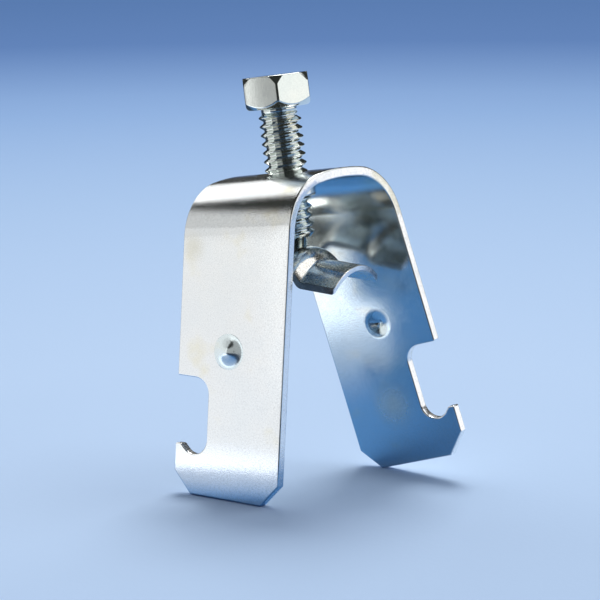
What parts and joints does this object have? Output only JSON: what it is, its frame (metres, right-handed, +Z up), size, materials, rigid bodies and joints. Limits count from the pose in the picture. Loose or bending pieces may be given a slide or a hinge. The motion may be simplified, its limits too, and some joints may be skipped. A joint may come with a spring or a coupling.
{
  "type": "conduit clamp",
  "caption": "Twist-in clamp: a folded sheet bracket hooks into a strut channel's slot while a hex-head screw presses a loose saddle onto a conduit.",
  "frame": {"origin": "on the screw's axis, at the level of the lowest corners of the two arms", "axes": "+Z up along the screw towards its head, +X along the conduit, +Y across the arms; the hook of the +Y arm points to +X"},
  "size_m": [0.033, 0.0292, 0.0606],
  "materials": {
    "plated_sheet": "bright zinc plate on sheet steel",
    "plated_screw": "bright zinc plate on a rolled-thread screw",
    "plated_saddle": "bright zinc plate on pressed steel"
  },
  "bodies": {
    "bracket": {"bracket": "plated_sheet"},
    "saddle": {"saddle": "plated_saddle"},
    "screw": {"screw": "plated_screw"}
  },
  "joints": [
    {"name": "screw_feed", "type": "slide", "parent": "bracket", "child": "saddle", "axis": [0, 0, 1], "range_m": [-0.0094, 0.0058]},
    {"name": "screw_turn", "type": "hinge", "parent": "saddle", "child": "screw", "pos_m": [0, 0, 0.04643], "axis": [0, 0, 1], "range_deg": [-2665, 1645]}
  ],
  "couplings": [
    {"joint": "screw_turn", "follows": "screw_feed", "rad_per_m": 4947.4}
  ]
}
